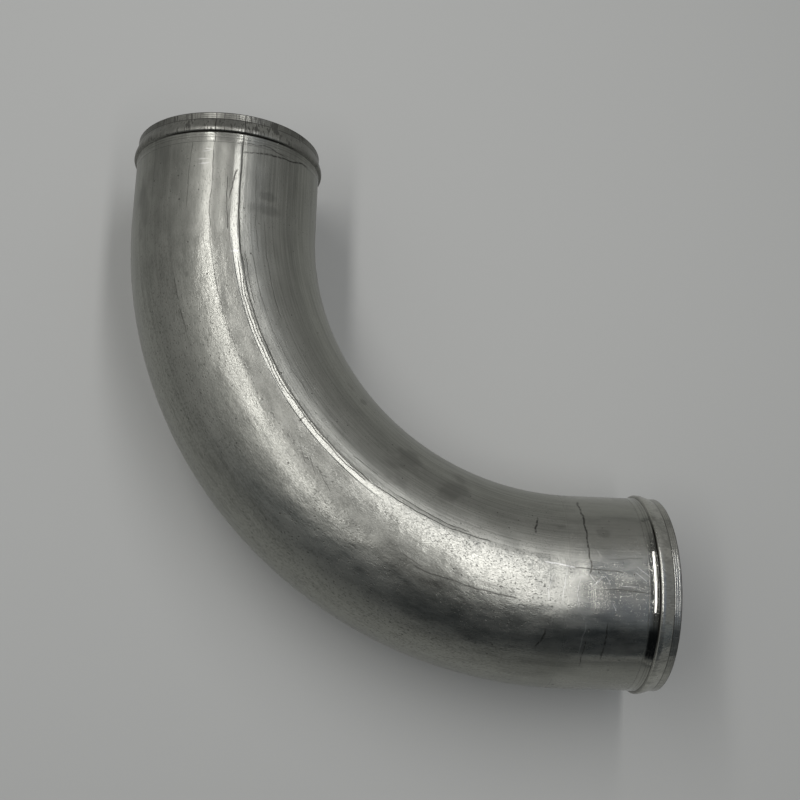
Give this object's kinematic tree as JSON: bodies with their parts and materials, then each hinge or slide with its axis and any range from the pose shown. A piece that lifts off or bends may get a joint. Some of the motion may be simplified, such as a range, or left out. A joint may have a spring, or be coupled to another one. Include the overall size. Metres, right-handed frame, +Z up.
{
  "type": "air pipe",
  "caption": "Right-angle elbow of round aluminium tube for ducted air, with a rolled hose bead near each open end.",
  "frame": {"origin": "centre of the inlet's end face", "axes": "+Y out of the inlet along the inlet leg, +X out of the outlet along the outlet leg, +Z up, square to the plane of the bend"},
  "size_m": [0.2194, 0.2194, 0.0788],
  "materials": {
    "aluminium": "bare drawn tube, mottled on the outside of the bend and streaked lengthwise on its inside"
  },
  "bodies": {
    "root": {"air_pipe": "aluminium"}
  },
  "joints": []
}
